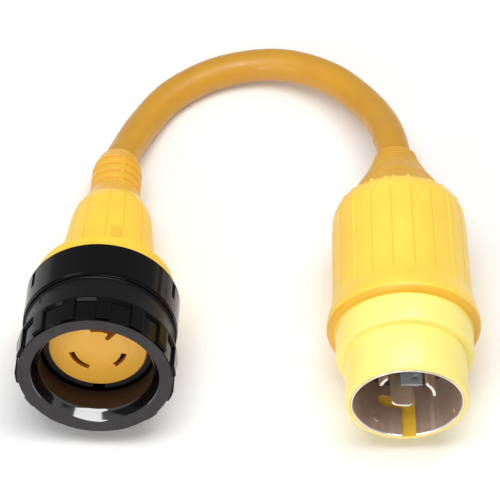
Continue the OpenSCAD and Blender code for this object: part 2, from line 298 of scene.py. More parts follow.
def band(value, low, high, soft):
    """1 inside low..high, falling to 0 over soft outside it."""
    return ramp(value, low - soft, low) * (1 - ramp(value, high, high + soft))


# %% [markdown]
# ## Tools for the finished piece
# A piece gets its materials while it still stands on its own axis, because a finish that depends on
# radius, angle or height is easiest to pick there. Then it's carried into the frame, where it rides on
# a body and stands in for its solid.

# %% Dress a piece and place it
def dress(obj, *materials):
    obj.data.materials.clear()
    for material in materials:
        obj.data.materials.append(material)


def paint(obj, finish):
    """Gives each face the number of the material that finish(radius, angle, z) picks for it."""
    for face in obj.data.polygons:
        face.material_index = int(finish(*polar(face.center)))


def place_on(obj, place, body, replaces, smooth=35):
    """Carries a finished piece into the frame and lets it ride on its body. Edges that turn by more than
    smooth degrees stay sharp."""
    obj.data.transform(place)
    obj.data.shade_smooth()
    obj.data.set_sharp_from_angle(angle=math.radians(smooth))
    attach(obj, body)
    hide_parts(replaces)
    print(obj.name, len(obj.data.polygons), "faces")
    return obj


# %% [markdown]
# ## Plain blocks
# Slots, keyways, holes and blades all start as one of three blocks: a bent one, a round one and a
# square one. Each is written out point by point, so its place is exact.

# %% Bent, round and square blocks
def arc_block(name, r0, r1, a0, a1, z0, z1, steps=24):
    """A block bent round the axis, between two radii, two angles and two heights."""
    verts = []
    for k in range(steps + 1):
        a = math.radians(a0 + (a1 - a0) * k / steps)
        for r, z in ((r0, z0), (r1, z0), (r1, z1), (r0, z1)):
            verts.append((r * math.cos(a), r * math.sin(a), z))
    faces = [(0, 1, 2, 3), tuple(4 * steps + i for i in (3, 2, 1, 0))]
    for k in range(steps):
        for i in range(4):
            j = (i + 1) % 4
            faces.append((4 * k + i, 4 * k + 4 + i, 4 * k + 4 + j, 4 * k + j))
    return clean(new_object(name, verts, faces))


def rod_block(name, start, end, radius):
    """A plain cylinder between two points."""
    sides = 32
    axis = (Vector(end) - Vector(start)).normalized()
    side = axis.orthogonal().normalized()
    other = axis.cross(side)
    verts = []
    for centre in (Vector(start), Vector(end)):
        for k in range(sides):
            a = math.tau * k / sides
            verts.append(centre + radius * (math.cos(a) * side + math.sin(a) * other))
    faces = [tuple(range(sides)), tuple(range(2 * sides - 1, sides - 1, -1))]
    faces += [(k, (k + 1) % sides, sides + (k + 1) % sides, sides + k) for k in range(sides)]
    return clean(new_object(name, verts, faces))


def box_block(name, low, high):
    """A square block between two opposite corners."""
    (a, b, c), (d, e, f) = low, high
    verts = [(a, b, c), (d, b, c), (d, e, c), (a, e, c), (a, b, f), (d, b, f), (d, e, f), (a, e, f)]
    faces = [(3, 2, 1, 0), (4, 5, 6, 7), (0, 1, 5, 4), (1, 2, 6, 5), (2, 3, 7, 6), (3, 0, 4, 7)]
    return new_object(name, verts, faces)


# %% [markdown]
# ## Finishes
# The yellow parts are soft vinyl: satin, slightly cloudy, with a fine moulded grain. A material of its
# own for each piece would repeat the same nodes many times. So one node group makes that skin for all
# of the moulded pieces, and each material gives it its own colours. A second group makes the fine lines
# that drawing and plating leave on metal.

# %% Colour and node helpers
def colour(code):
    """A web colour such as FADB61 as the linear values that shaders use."""
    parts = [int(code[i:i + 2], 16) / 255 for i in (0, 2, 4)]
    return tuple(p / 12.92 if p <= 0.04045 else ((p + 0.055) / 1.055) ** 2.4 for p in parts) + (1,)


def add(tree, kind, settings=None, **inputs):
    """Adds a node, sets its properties, and sets or links its inputs, by name or by number as i0, i1."""
    node = tree.nodes.new(kind)
    for key, value in (settings or {}).items():
        setattr(node, key, value)
    for key, value in inputs.items():
        socket = node.inputs[int(key[1:])] if key[0] == "i" and key[1:].isdigit() else \
            node.inputs[key.replace("_", " ")]
        if isinstance(value, bpy.types.NodeSocket):
            tree.links.new(value, socket)
        else:
            socket.default_value = value
    return node


def new_group(name, ins, outs):
    """A node group, with its input and output nodes."""
    group = bpy.data.node_groups.new(name, "ShaderNodeTree")
    for label, kind, value in ins:
        socket = group.interface.new_socket(label, in_out="INPUT", socket_type=kind)
        socket.default_value = value
    for label, kind in outs:
        group.interface.new_socket(label, in_out="OUTPUT", socket_type=kind)
    return group, group.nodes.new("NodeGroupInput"), group.nodes.new("NodeGroupOutput")


# %% Group: moulded skin
skin, skin_in, skin_out = new_group(
    "moulded_skin",
    [("Colour", "NodeSocketColor", (1, 1, 1, 1)), ("Deep", "NodeSocketColor", (0.5, 0.5, 0.5, 1)),
     ("Cloud", "NodeSocketFloat", 0.25), ("Rough", "NodeSocketFloat", 0.4),
     ("Rough spread", "NodeSocketFloat", 0.12), ("Grain", "NodeSocketFloat", 900.0)],
    [("Colour", "NodeSocketColor"), ("Roughness", "NodeSocketFloat"), ("Height", "NodeSocketFloat")])
where = add(skin, "ShaderNodeTexCoord").outputs["Object"]
clouds = add(skin, "ShaderNodeTexNoise", Vector=where, Scale=42.0, Detail=4.0, Roughness=0.6)
grain = add(skin, "ShaderNodeTexNoise", Vector=where, Scale=skin_in.outputs["Grain"], Detail=2.0)
smears = add(skin, "ShaderNodeTexNoise", Vector=where, Scale=130.0, Detail=3.0, Distortion=0.6)
# The crease_shade attribute darkens grooves towards the Deep colour: painted shade.
crease_shade = add(skin, "ShaderNodeAttribute", {"attribute_name": "crease_shade"})
cloud_mask = add(skin, "ShaderNodeMapRange", Value=clouds.outputs["Fac"], From_Min=0.35, From_Max=0.7)
cloud_part = add(skin, "ShaderNodeMath", {"operation": "MULTIPLY"}, i0=cloud_mask.outputs["Result"],
                 i1=skin_in.outputs["Cloud"])
cloud_and_crease_shade = add(skin, "ShaderNodeMath", {"operation": "MAXIMUM"}, i0=cloud_part.outputs["Value"],
                i1=crease_shade.outputs["Fac"])
tint = add(skin, "ShaderNodeMix", {"data_type": "RGBA"}, i0=cloud_and_crease_shade.outputs["Value"],
           i6=skin_in.outputs["Colour"], i7=skin_in.outputs["Deep"])
rough_low = add(skin, "ShaderNodeMath", {"operation": "SUBTRACT"}, i0=skin_in.outputs["Rough"],
                i1=skin_in.outputs["Rough spread"])
rough_high = add(skin, "ShaderNodeMath", {"operation": "ADD"}, i0=skin_in.outputs["Rough"],
                 i1=skin_in.outputs["Rough spread"])
rough = add(skin, "ShaderNodeMapRange", Value=smears.outputs["Fac"], From_Min=0.3, From_Max=0.7,
            To_Min=rough_low.outputs["Value"], To_Max=rough_high.outputs["Value"])
height = add(skin, "ShaderNodeMath", {"operation": "MULTIPLY_ADD"}, i0=grain.outputs["Fac"], i1=0.3,
             i2=smears.outputs["Fac"])
skin.links.new(tint.outputs[2], skin_out.inputs["Colour"])
skin.links.new(rough.outputs["Result"], skin_out.inputs["Roughness"])
skin.links.new(height.outputs["Value"], skin_out.inputs["Height"])

# %% Group: drawn metal
drawn, drawn_in, drawn_out = new_group(
    "drawn_metal",
    [("Colour", "NodeSocketColor", (0.6, 0.6, 0.6, 1)), ("Tarnish", "NodeSocketColor", (0.3, 0.25, 0.2, 1)),
     ("Stain", "NodeSocketFloat", 0.5), ("Rough", "NodeSocketFloat", 0.3)],
    [("Colour", "NodeSocketColor"), ("Roughness", "NodeSocketFloat"), ("Height", "NodeSocketFloat")])
where = add(drawn, "ShaderNodeTexCoord").outputs["Object"]
stretch = add(drawn, "ShaderNodeMapping", Vector=where, Scale=(1.0, 0.06, 1.0))
lines = add(drawn, "ShaderNodeTexNoise", Vector=stretch.outputs["Vector"], Scale=1500.0, Detail=3.0)
stains = add(drawn, "ShaderNodeTexNoise", Vector=where, Scale=90.0, Detail=5.0, Roughness=0.65)
stain_mask = add(drawn, "ShaderNodeMapRange", Value=stains.outputs["Fac"], From_Min=0.35, From_Max=0.72)
stain_part = add(drawn, "ShaderNodeMath", {"operation": "MULTIPLY"}, i0=stain_mask.outputs["Result"],
                 i1=drawn_in.outputs["Stain"])
metal_tint = add(drawn, "ShaderNodeMix", {"data_type": "RGBA"}, i0=stain_part.outputs["Value"],
                 i6=drawn_in.outputs["Colour"], i7=drawn_in.outputs["Tarnish"])
line_rough = add(drawn, "ShaderNodeMath", {"operation": "MULTIPLY_ADD"}, i0=lines.outputs["Fac"], i1=0.25,
                 i2=drawn_in.outputs["Rough"])
both_rough = add(drawn, "ShaderNodeMath", {"operation": "MULTIPLY_ADD"}, i0=stain_part.outputs["Value"],
                 i1=0.3, i2=line_rough.outputs["Value"])
drawn.links.new(metal_tint.outputs[2], drawn_out.inputs["Colour"])
drawn.links.new(both_rough.outputs["Value"], drawn_out.inputs["Roughness"])
drawn.links.new(lines.outputs["Fac"], drawn_out.inputs["Height"])


# %% Material makers
def new_material(name, group, depth, values, **shader):
    """A Principled material whose colour, roughness and bump come from a group."""
    material = bpy.data.materials.new(name)
    material.use_nodes = True
    tree = material.node_tree
    principled = tree.nodes["Principled BSDF"]
    effect = tree.nodes.new("ShaderNodeGroup")
    effect.node_tree = group
    for key, value in values.items():
        effect.inputs[key].default_value = value
    tree.links.new(effect.outputs["Colour"], principled.inputs["Base Color"])
    tree.links.new(effect.outputs["Roughness"], principled.inputs["Roughness"])
    bump = add(tree, "ShaderNodeBump", Height=effect.outputs["Height"], Strength=0.35, Distance=depth * MM)
    tree.links.new(bump.outputs["Normal"], principled.inputs["Normal"])
    for key, value in shader.items():
        principled.inputs[key.replace("_", " ")].default_value = value
    return material


def moulded(name, base, deep, rough=0.4, cloud=0.25, grain=900.0, spread=0.1, depth=0.05, **shader):
    """A moulded finish in the colour base, with deep in its clouds, and deep as painted shade in its creases.
    """
    return new_material(name, skin, depth, {"Colour": colour(base), "Deep": colour(deep), "Cloud": cloud,
                                            "Rough": rough, "Rough spread": spread, "Grain": grain}, **shader)


def metal(name, base, tarnish, rough=0.3, stain=0.5, metallic=1.0):
    """A drawn or plated metal in the colour base, stained with tarnish."""
    return new_material(name, drawn, 0.02, {"Colour": colour(base), "Tarnish": colour(tarnish),
                                            "Stain": stain, "Rough": rough}, Metallic=metallic)


# %% The finishes of this lead
vinyl = moulded("yellow_vinyl", "FBD240", "F0AD2A", rough=0.4, cloud=0.22)
vinyl_bright = moulded("bright_yellow_vinyl", "FCD44E", "F0A930", rough=0.38, cloud=0.2)
# The pale vinyl is a lighter copy of the yellow vinyl: painted highlight for the strongly lit front of the
# plug.
vinyl_highlight_pale = moulded("pale_yellow_vinyl_highlight", "FDEB86", "F8D45C", rough=0.36, cloud=0.2)
# The orange vinyl is the real colour of the connector's rear and boot, and painted shade on the plug ridge's
# front slope.
orange_vinyl_and_ridge_shade = moulded("orange_vinyl", "EBB532", "D98A1C", rough=0.42, cloud=0.25)
vinyl_pad = moulded("pad_vinyl", "F2C23C", "DDA12C", rough=0.4, cloud=0.25)
vinyl_deep = moulded("amber_vinyl", "E0AA2E", "B0761A", rough=0.45, cloud=0.3)
jacket_vinyl = moulded("cable_jacket_vinyl", "CB9528", "B07516", rough=0.4, cloud=0.3, grain=700.0)
face_nylon = moulded("contact_face_nylon", "FFC048", "E89C2A", rough=0.36, cloud=0.25)
# The slot wall nylon is a darker copy of the face nylon: painted shade inside the slots.
slot_shade_nylon = moulded("slot_wall_shade_nylon", "D88A38", "A8601F", rough=0.5, cloud=0.4)
ring_gloss = moulded("black_gloss", "050406", "0A090A", rough=0.12, cloud=0.4, spread=0.05, depth=0.02,
                     Specular_IOR_Level=0.13)
ring_satin = moulded("black_satin", "0E0C0E", "151213", rough=0.36, cloud=0.4, spread=0.08, grain=1500.0,
                     Specular_IOR_Level=0.2)
ring_face = moulded("black_face", "2E2A2C", "242122", rough=0.6, cloud=0.5, spread=0.08, grain=1800.0,
                    depth=0.08, Specular_IOR_Level=0.4)
ring_polish = moulded("black_polish", "060607", "0B0B0C", rough=0.08, cloud=0.3, spread=0.03, depth=0.01,
                      IOR=2.1)
bore_brown = moulded("brown_black_bore", "2E1C14", "1C110C", rough=0.5, cloud=0.5, Specular_IOR_Level=0.3)
rubber = moulded("gasket_rubber", "1A1918", "242220", rough=0.6, cloud=0.4)
insert_dark = moulded("dark_insert", "4A3F39", "332B27", rough=0.5, cloud=0.4)
nickel = metal("nickel_shell", "DCC6B6", "BCA594", rough=0.48, stain=0.5, metallic=0.92)
# The edge metal is a lighter, smoother copy of the plating: painted highlight on the shell's rim and the
# blade tips.
edge_highlight = metal("edge_highlight_plating", "F4ECE8", "CFC6C0", rough=0.22, stain=0.2)
blade_metal = metal("blade_plating", "E2CDB6", "BEA892", rough=0.38, stain=0.5, metallic=0.8)
strap_metal = metal("strap_plating", "B9C8D2", "93A2AC", rough=0.4, stain=0.4, metallic=0.4)
brass = metal("contact_brass", "C9A45A", "8A6A38", rough=0.25, stain=0.4)
copper = metal("bare_copper", "C97F52", "8A5134", rough=0.3, stain=0.4)
steel = metal("ferrule_steel", "B9BBBE", "8A8C90", rough=0.25, stain=0.3)
wire_black = moulded("black_insulation", "1B1B1C", "2A2A2A", rough=0.4)
wire_white = moulded("white_insulation", "E4E3DD", "CFCBC0", rough=0.4)
wire_green = moulded("green_insulation", "2C8B43", "1F6B32", rough=0.4)

# %% [markdown]
# ## The hidden works
# Contacts, wires, ferrules and rivets are plain parts, mostly out of sight while the lead is whole. They
# could be modelled again, but their solids are good enough as they are, and they only need a finish.

# %% Dress the hidden works
hidden = {
    "ring_gasket": rubber, "retaining_ring": rubber, "carrier_back": insert_dark, "hot_contact": brass,
    "neutral_contact": brass, "ground_contact": brass, "connector_ferrule": steel, "hot_wire": wire_black,
    "neutral_wire": wire_white, "ground_wire": wire_green, "wire_ends": copper, "plug_ferrule": steel,
    "hot_jumper": copper, "strap_rivet": steel, "ground_lug": brass, "blade_carrier": insert_dark}
for name, material in hidden.items():
    dress(nodes[name], material)
print("dressed", len(hidden), "working parts")

# %% [markdown]
# ## The cable jacket
# The jacket is a smooth round tube. A curve with a bevel would do as well. Here a ring of points stands
# at each step, turned to face along the line, which makes an even skin on exactly the cable's line, and
# the ends are closed inside the two boots.

# %% Sweep the jacket
BARE_FRONT, BARE_REAR = 12, 6  # mm of the line without a jacket, inside the two ends
BOOT_END = -141.0  # mm along the connector's axis, where the cable comes out


def swept(name, line, radius):
    """A closed tube along line, with its radius in mm."""
    sides = 48
    verts, faces = [], []
    last = len(line) - 1
    for i, point in enumerate(line):
        along = (line[min(i + 1, last)] - line[max(i - 1, 0)]).normalized()
        side = along.cross(Vector((0, 0, 1))).normalized()
        lift = side.cross(along)
        for k in range(sides):
            a = math.tau * k / sides
            verts.append(point / MM + radius * (math.cos(a) * side + math.sin(a) * lift))
    for i in range(last):
        for k in range(sides):
            n = (k + 1) % sides
            faces.append((i * sides + k, i * sides + n, (i + 1) * sides + n, (i + 1) * sides + k))
    faces += [tuple(range(sides))[::-1], tuple(last * sides + k for k in range(sides))]
    return clean(new_object(name, verts, faces))


def stretch_of(line, start, end):
    """The part of a line between two distances from its beginning, in mm."""
    out, gone = [], 0.0
    for a, b in zip(line, line[1:]):
        if start * MM <= gone <= end * MM:
            out.append(a)
        gone += (b - a).length
    return out


jacket_line = stretch_of(cable_line, BARE_FRONT, cable_length / MM - BARE_REAR)
jacket = swept("cable", jacket_line, JACKET_R)
dress(jacket, jacket_vinyl)
place_on(jacket, Matrix(), "adapter", "cable_jacket", smooth=60)

# %% [markdown]
# ## The sealing ring
# The ring is one black moulding. Behind a plain front lip stand fourteen grip teeth with pockets
# between them. Then come a recessed matt band, with a scooped hollow on each side, and a glossy rear
# collar with a rolled front edge. Inside the mouth a sloping step leads to a brown-black bore. The
# outline is turned first, and the pockets, scoops and slots are pressed in afterwards.

# %% Draw the ring's outline
BORE_R = mounts["ring_bore"]["dims"]["r_mm"]
LIP_R, TOOTH_R, BAND_R, COLLAR_R, SKIRT_R = 38.8, 40.2, 37.5, 39.0, 33.0
RING_FRONT, TOOTH_REAR, BAND_REAR, RING_REAR = 19.5, 3.4, -12.8, -36.0
front_lip = [(31.8, RING_FRONT - 0.4), (32.2, RING_FRONT), (LIP_R - 0.4, RING_FRONT),
             (LIP_R, RING_FRONT - 0.4), (LIP_R, RING_FRONT - 1.3)]
teeth = [(TOOTH_R - 0.3, 18.1), (TOOTH_R, 17.8), (TOOTH_R, TOOTH_REAR + 0.4), (TOOTH_R - 0.3, TOOTH_REAR)]
matt_band = [(BAND_R + 0.3, TOOTH_REAR), (BAND_R, TOOTH_REAR - 0.3), (BAND_R, BAND_REAR + 0.6),
             (BAND_R + 0.4, BAND_REAR + 0.1)]
rolled_edge = [(38.7, BAND_REAR), (38.9, -13.2), (38.9, -13.8), (38.5, -14.2), (38.5, -14.7)]
rear_collar = [(COLLAR_R, -15.1), (COLLAR_R, RING_REAR + 0.7), (COLLAR_R - 0.7, RING_REAR),
               (SKIRT_R + 0.4, RING_REAR), (SKIRT_R, RING_REAR + 0.4)]
inside = [(SKIRT_R, -15.0), (25.0, -15.0), (25.0, -11.0), (31.0, -11.0), (31.0, 0.5), (BORE_R, 0.5),
          (BORE_R - 0.1, 13.2), (BORE_R + 0.3, 13.8)]
ring_outline = front_lip + teeth + matt_band + rolled_edge + rear_collar + inside
print("ring outline has", len(ring_outline), "points")

# %% Press the ring's relief
TEETH = 14
PITCH = 360 / TEETH
TOOTH_TURN = 6.6  # degrees, the middle of the first tooth
TOOTH_HALF, TOOTH_FLANK = 5.1, 0.5  # degrees
POCKET_R = 38.75
SCOOP_R, SCOOP_X, SCOOP_Z = 14, 49.5, -5  # a round bar laid across each side, whose middle is at X and Z
MARKS = ((57, 1), (141, -1))  # degrees, and the way that the long leg runs
MARK_HEIGHT = 0.35
SLOT_TURNS = (22, 152, 208, 338)  # degrees
SLOT_HALF, SLOT_DEPTH = 1.8, 1.6  # degrees, mm


def from_tooth(a):
    """How many degrees a lies from the middle of the nearest tooth."""
    return abs((a - TOOTH_TURN + PITCH / 2) % PITCH - PITCH / 2)


def corner_mark(a, z, corner, way):
    """A fine raised angle, 1 on its two short legs."""
    along = (a - corner) * way
    upright = band(along, 0, 0.8, 0.4) * band(z, -11.2, -6.8, 0.4)
    level = band(along, 0, 6.5, 0.4) * band(z, -11.4, -10.6, 0.4)
    return max(upright, level)


def ring_relief(r, a, z):
    if r < SKIRT_R + 3:
        return 0.0
    move = 0.0
    if z > TOOTH_REAR + 1.5 and r > LIP_R:
        move = -(r - POCKET_R) * ramp(from_tooth(a), TOOTH_HALF, TOOTH_HALF + TOOTH_FLANK)
    x, y = r * math.cos(math.radians(a)), r * math.sin(math.radians(a))
    room = SCOOP_R ** 2 - (z - SCOOP_Z) ** 2
    if room > 0 and BAND_REAR + 0.2 < z < TOOTH_REAR - 0.1:
        limit = SCOOP_X - math.sqrt(room)
        if abs(x) > limit:
            move += math.hypot(limit, y) - r
    if r < BAND_R + 0.2 and BAND_REAR + 0.8 < z < TOOTH_REAR - 0.4:
        move += MARK_HEIGHT * max(corner_mark(a, z, corner, way) for corner, way in MARKS)
    slots = sum(band(a, q - SLOT_HALF, q + SLOT_HALF, 0.5) for q in SLOT_TURNS)
    return move - SLOT_DEPTH * slots * band(z, -33.5, -24.5, 0.5)


ring = turned("sealing_ring_skin", ring_outline, steps=36 * TEETH, step=0.9)
relief(ring, ring_relief)
print("pressed", TEETH, "teeth and", len(SLOT_TURNS), "collar slots")

# %% [markdown]
# ## The ring's finishes
# The mould gives each part of the ring its own finish: gloss on the teeth and the collar, satin in the
# band, a dull front face, a brown bore, and a polished step in the mouth. Five materials on one mesh
# keep it a single moulding.

# %% Finish and place the ring
GLOSS, SATIN, DULL, BROWN, POLISH = range(5)
STEP_FOOT = 13.3  # mm, where the polished step ends and the bore starts


def ring_finish(r, a, z):
    if z > RING_FRONT - 0.2 and r > 32.2:
        return DULL
    if r < 32 and z > STEP_FOOT:
        return POLISH
    if r < BORE_R + 0.2 and -12 < z < STEP_FOOT:
        return BROWN
    if 36 < r < BAND_R + 0.4 and BAND_REAR + 0.2 < z < TOOTH_REAR - 0.2:
        return SATIN
    return GLOSS


dress(ring, ring_gloss, ring_satin, ring_face, bore_brown, ring_polish)
paint(ring, ring_finish)
place_on(ring, CONNECTOR, "ring", "sealing_ring", smooth=32)

# %% [markdown]
# ## The contact face
# The orange face holds the spring contacts. Its three slots follow one circle, and the top one has a
# hook at its end so that only the right plug goes in. The block is turned, the slots are cut with
# bent blocks, and a fine bevel rounds every edge. The walls inside the slots get a darker orange as
# painted shade, so that the slots read as deep.

# %% Turn and slot the contact carrier
CONTACT_R = 13.4
FACE_R, GROOVE_R, FOOT_R = 24.6, 23.5, 27.0
FOOT_TOP, FOOT_END = -36.3, -41.5
SLOTS = {"hot": (192, 250), "neutral": (308, 350), "ground": (50, 106)}  # degrees
HOOK, HOOK_R = (50, 64), 8.2
SLOT_WIDE, CHAMBER_WIDE = 1.4, 2.6  # mm, half of each
CHAMBER_MORE = 3  # degrees beyond each end of the slot
carrier = turned("contact_face_block", [
    (0, 0), (15.6, 0), (15.75, -0.15), (FACE_R - 0.4, -0.15), (FACE_R, -0.5), (FACE_R, -0.6),
    (GROOVE_R, -0.6), (GROOVE_R, -2.4), (FACE_R, -2.4), (FACE_R, FOOT_TOP), (FOOT_R, FOOT_TOP),
    (FOOT_R, FOOT_END), (0, FOOT_END)])
cutters = []
for name, (a0, a1) in SLOTS.items():
    cutters.append(arc_block(name, CONTACT_R - SLOT_WIDE, CONTACT_R + SLOT_WIDE, a0, a1, -5, 1))
    cutters.append(arc_block(name, CONTACT_R - CHAMBER_WIDE, CONTACT_R + CHAMBER_WIDE,
                             a0 - CHAMBER_MORE, a1 + CHAMBER_MORE, -45, -3))
cutters.append(arc_block("hook", HOOK_R, CONTACT_R, *HOOK, -5, 1))
cut(carrier, *cutters)
round_edges(carrier, 0.2)
dress(carrier, face_nylon, slot_shade_nylon)
# Faces inside the slots get the darker nylon as painted shade.
paint(carrier, lambda r, a, z: -44 < z < -0.4 and r < 20)
place_on(carrier, CONNECTOR, "adapter", "contact_carrier")

# %% [markdown]
# ## The connector's bell
# Behind the ring the yellow body has a wide flange and then a bell with fine lines between its flats
# and a low pad for the thumb. A deeper orange vinyl is moulded over the bell's rear, and it reaches
# further forward along the top than at the sides. A second shell could carry it, but the two are one
# smooth surface. So the flange, bell and shoulder are one outline, and each part has its own finish.

# %% Draw the bell's outline
BOOT_R = 13.1
PASSAGE_R = JACKET_R + 0.1  # the hole that the cable runs through
FLANGE_R, SPIGOT_R, BELL_R, CAVITY_R = 35.5, 33.8, 24.0, 17.5
BELL_FRONT, BELL_REAR = -36.5, -112.5
flange = [(FOOT_R, BELL_FRONT), (SPIGOT_R - 0.2, BELL_FRONT + 0.2), (SPIGOT_R, BELL_FRONT), (SPIGOT_R, -37.8),
          (FLANGE_R - 0.3, -37.8), (FLANGE_R, -38.1), (FLANGE_R, -45.6), (FLANGE_R - 0.6, -46.3),
          (FLANGE_R - 1.5, -46.6)]
barrel = [(BELL_R + 1.6, -46.6), (BELL_R + 0.4, -47.0), (BELL_R, -48.0), (23.6, -60.0), (23.1, -73.0),
          (22.6, -78.0), (22.0, -84.0), (21.2, -90.0), (20.6, -94.0)]
shoulder = [(19.7, -97.0), (18.0, -100.5), (16.3, -104.0), (14.8, -108.0), (BOOT_R + 0.5, -112.0),
            (BOOT_R, BELL_REAR)]
cavity = [(PASSAGE_R, BELL_REAR), (PASSAGE_R, -106.0), (16.0, -92.0), (CAVITY_R, -60.0), (CAVITY_R, -44.0),
          (FOOT_R, -44.0)]
bell_outline = flange + barrel + shoulder + cavity
print("bell outline has", len(bell_outline), "points")

# %% Press, finish and place the bell
FLATS = 7
BELL_LINES = (69.6, 91.6)  # degrees, one pair to each flat
LINE_DEPTH = 0.3
PAD_TURN, PAD_HALF, PAD_HEIGHT = 78.5, 5.6, 0.6  # degrees, degrees, mm
OVERLAP_REAR, OVERLAP_REACH = -111.5, 11  # mm, the orange vinyl's edge at the sides, and its reach on top
YELLOW, ORANGE, PAD = range(3)


def fine_line(a, start, every, half):
    """1 on a fine line that repeats round the axis."""
    off = abs((a - start + every / 2) % every - every / 2)
    return 1 - ramp(off, half * 0.4, half)


def bell_relief(r, a, z):
    if r < BOOT_R + 0.1 or z > -48 or r > BELL_R + 0.5:
        return 0.0
    lines = max(fine_line(a, start, 360 / FLATS, 1.6) for start in BELL_LINES)
    pad = band(a, PAD_TURN - PAD_HALF, PAD_TURN + PAD_HALF, 1.4) * band(z, -66, -51, 1.4)
    return PAD_HEIGHT * pad - LINE_DEPTH * lines * (1 - pad) * band(z, -99, -50, 3)


def bell_finish(r, a, z):
    if -66.5 < z < -50.5 and r > 20 and abs(a - PAD_TURN) < PAD_HALF + 0.4:
        return PAD
    overlap = OVERLAP_REAR + OVERLAP_REACH * abs(math.sin(math.radians(a))) ** 1.5
    return ORANGE if z < overlap and r > 10 else YELLOW


bell = turned("connector_bell", bell_outline, steps=360, step=0.8)
# Painted shade darkens the fine lines between the flats.
relief(bell, bell_relief, shade=1.6)
dress(bell, vinyl, orange_vinyl_and_ridge_shade, vinyl_pad)
paint(bell, bell_finish)
place_on(bell, CONNECTOR, "adapter", "connector_cover", smooth=60)

# %% [markdown]
# ## The connector's ribbed boot
# The boot lets the cable bend without breaking its wires. Grooves on each side leave a narrow spine
# along the top and the bottom. Separate rings on a sleeve would have to be joined at the spine, so the
# grooves are pressed into one tapered tube and fade out beside it.

# %% Turn the boot
boot_outline = [
    (BOOT_R - 0.1, BELL_REAR), (BOOT_R, BELL_REAR - 0.2), (BOOT_R, -131.0), (12.8, -133.0), (12.1, -135.2),
    (11.1, -137.6), (10.3, -139.8), (10.0, BOOT_END), (9.5, BOOT_END), (PASSAGE_R + 0.1, -137.0),
    (PASSAGE_R, BELL_REAR)]
GROOVES = (-115.6, -121.4, -127.2, -132.4)
GROOVE_DEPTH = 1.3
SPINE = 74  # degrees
SPINE_HALF, SPINE_FADE = 6.5, 10  # degrees from the spine's middle


def boot_relief(r, a, z):
    if r < 10.5:
        return 0.0
    beside = ramp(abs((a - SPINE + 90) % 180 - 90), SPINE_HALF, SPINE_FADE)
    grooves = sum(band(z, q - 0.5, q + 0.5, 0.9) for q in GROOVES)
    return -GROOVE_DEPTH * beside * min(grooves, 1)


boot = turned("connector_boot", boot_outline, steps=180, step=0.35)
# Painted shade darkens the grooves beside the spine.
relief(boot, boot_relief, shade=0.35)
dress(boot, orange_vinyl_and_ridge_shade)
place_on(boot, CONNECTOR, "adapter", "connector_strain_relief", smooth=60)

# %% [markdown]
# ## The plug's boot
# The plug's grip is a thick barrel with fine lines between its flats, four thin raised ribs, and a
# rounded ridge at the front. Its rear edge carries a small lip of flash where the mould closed. That
# lip is ragged, and three sine waves of unlike lengths make it so without any random draw.

# %% Draw the plug body's outline
NOSE_R = mounts["plug_nose_sleeve"]["dims"]["r_mm"]
SHELL_R, SHELL_T = 27.2, 1.2  # the steel shell's inside radius and thickness
SLEEVE_IN_R, SLEEVE_OUT_R = SHELL_R + SHELL_T, NOSE_R - 0.4  # the nose sleeve where it sits in the body
RIDGE_R, GRIP_REAR_R, CORE_R = 39.0, 34.0, 27.0
BODY_FRONT, SLEEVE_REAR, SEAM = -43.0, -50.0, -120.5
ridge = [(SLEEVE_OUT_R, BODY_FRONT), (35.4, BODY_FRONT), (36.8, -43.2), (37.8, -43.7), (38.6, -44.7),
         (RIDGE_R, -46.2), (RIDGE_R, -47.6), (38.6, -50.0), (38.1, -52.0), (37.5, -54.2), (36.9, -56.4)]
grip = [(36.2, -59.6), (35.7, -62.5), (35.4, -66.0), (35.1, -75.0), (34.9, -90.0), (34.5, -106.0),
        (GRIP_REAR_R, -113.6)]
rear_edge = [(33.4, -116.0), (32.6, -118.0), (31.7, -119.5), (31.7, SEAM + 0.4), (31.2, SEAM),
             (PASSAGE_R, SEAM)]
core = [(PASSAGE_R, -115.0), (12.0, -113.0), (CORE_R, -102.0), (CORE_R, -58.0), (SLEEVE_IN_R, -58.0),
        (SLEEVE_IN_R, SLEEVE_REAR), (SLEEVE_OUT_R, SLEEVE_REAR)]
body_outline = ridge + grip + rear_edge + core
print("body outline has", len(body_outline), "points")

# %% Press, finish and place the plug body
RIB_START, RIB_EVERY, RIB_HEIGHT = 45, 90, 0.7  # degrees, degrees, mm
GRIP_START, GRIP_EVERY = 9, 18  # degrees, the fine lines between the flats
FLASH_HEIGHT = 0.9


def flash(a):
    """The ragged height of the moulding flash, 0 to about 1."""
    return max(0.0, math.sin(math.radians(19 * a)) + math.sin(math.radians(31 * a + 60))
               + 0.7 * math.sin(math.radians(53 * a + 20))) / 2


def body_relief(r, a, z):
    if r < 31 or z > -57:
        return 0.0
    if z < SEAM + 1.3:
        return FLASH_HEIGHT * flash(a) - 0.3
    length = band(z, -112, -60, 1.5)
    rib = fine_line(a, RIB_START, RIB_EVERY, 1.3)
    lines = fine_line(a, GRIP_START, GRIP_EVERY, 1.0) * (1 - rib)
    return (RIB_HEIGHT * rib - LINE_DEPTH * lines) * length


body = turned("plug_grip", body_outline, steps=720, step=1.5)
# Painted shade darkens the fine lines and the low places of the flash.
relief(body, body_relief, shade=1.6)
dress(body, vinyl_bright, orange_vinyl_and_ridge_shade)
# The ridge's forward-facing slope gets the orange vinyl as painted shade.
paint(body, lambda r, a, z: z > -45.2 and r > 34.8)
place_on(body, PLUG, "adapter", "plug_body", smooth=60)

# %% [markdown]
# ## The collar and the nose
# In front of the ridge the plug steps down twice: to a smooth collar, and then to the bare nose that the
# ring of a matching connector slides over. Both are plain turned bands, so their outlines are short,
# and more steps round the axis keep their long edges smooth.

